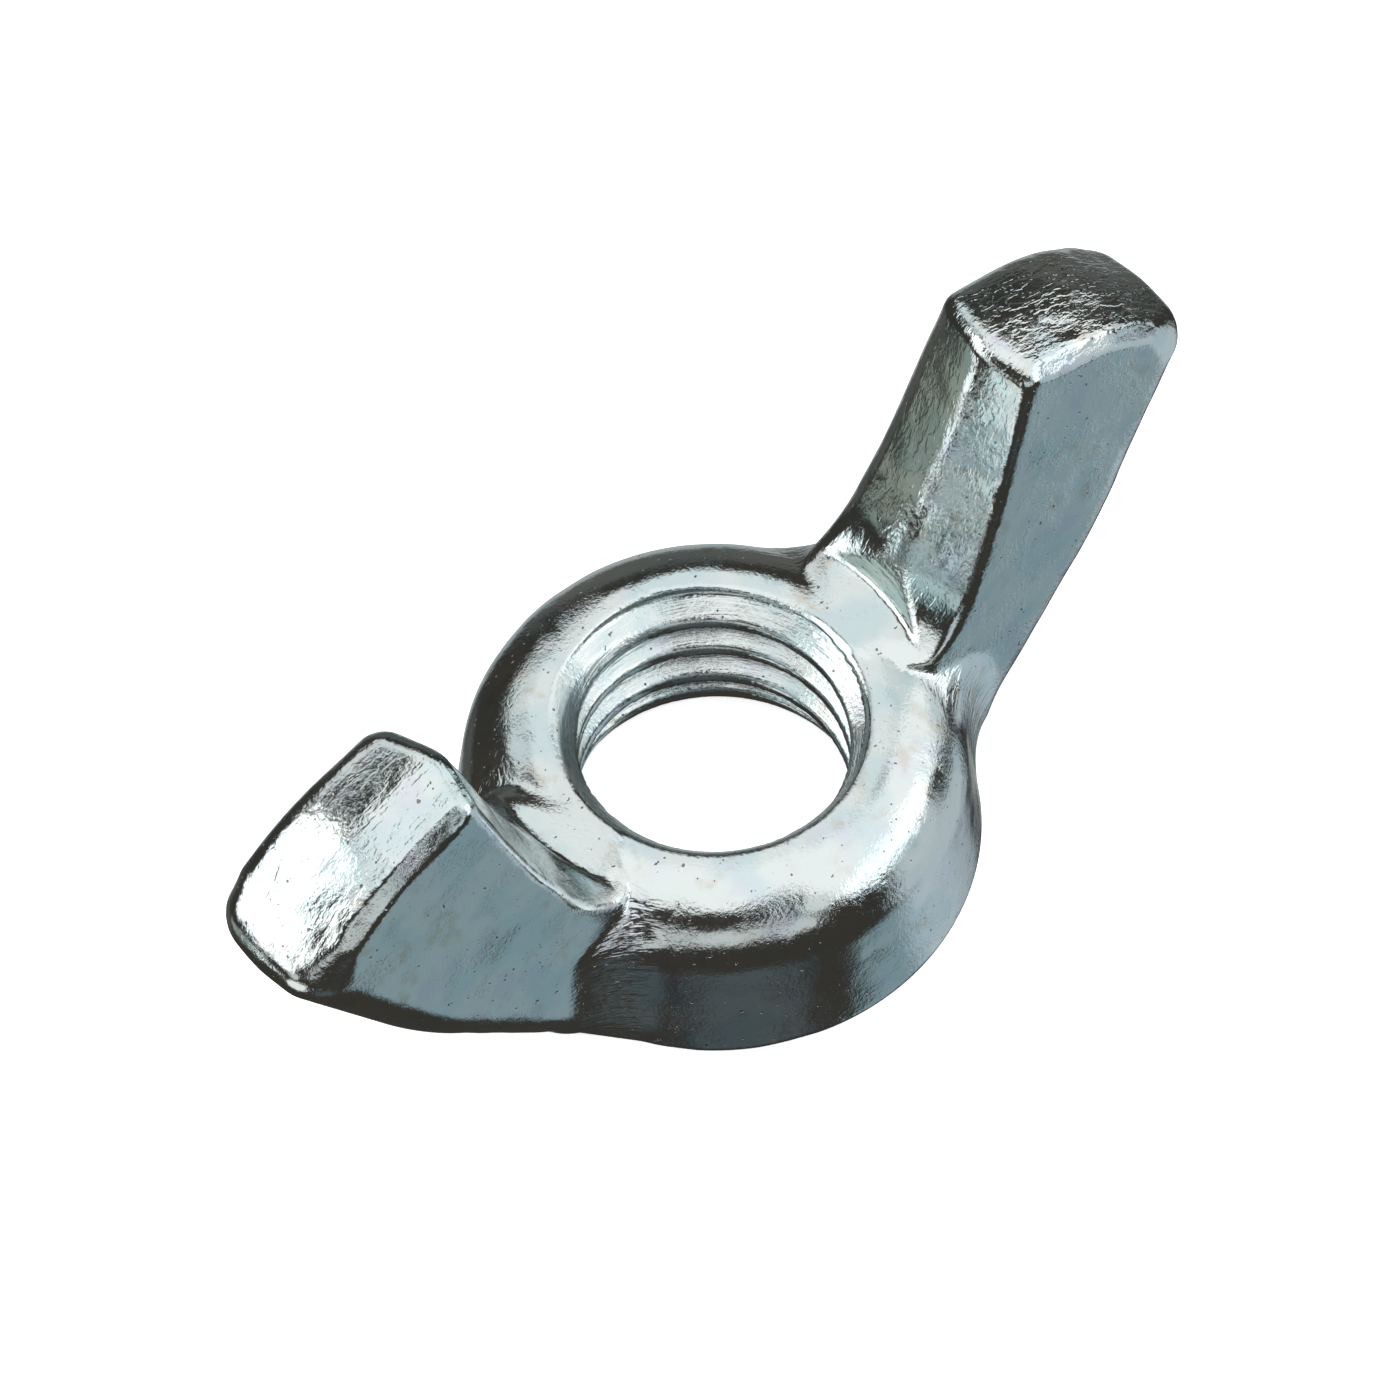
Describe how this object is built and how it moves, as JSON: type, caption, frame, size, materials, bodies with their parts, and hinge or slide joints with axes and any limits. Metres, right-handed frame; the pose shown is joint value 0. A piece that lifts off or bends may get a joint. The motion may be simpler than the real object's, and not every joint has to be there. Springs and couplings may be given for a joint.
{
  "type": "wing nut",
  "caption": "Cold-forged steel wing nut with a round, drafted hub, a tapped through bore and two raised angular wings for tightening by hand.",
  "frame": {"origin": "centre of the bearing face, on the thread's axis", "axes": "+Z along the thread's axis, from the bearing face towards the wing tips; +X along the wings; +Y across them"},
  "size_m": [0.0304, 0.0138, 0.0133],
  "materials": {
    "zinc_plated_steel": "bright zinc plate over cold-forged steel"
  },
  "bodies": {
    "root": {"wing_nut": "zinc_plated_steel"}
  },
  "joints": []
}
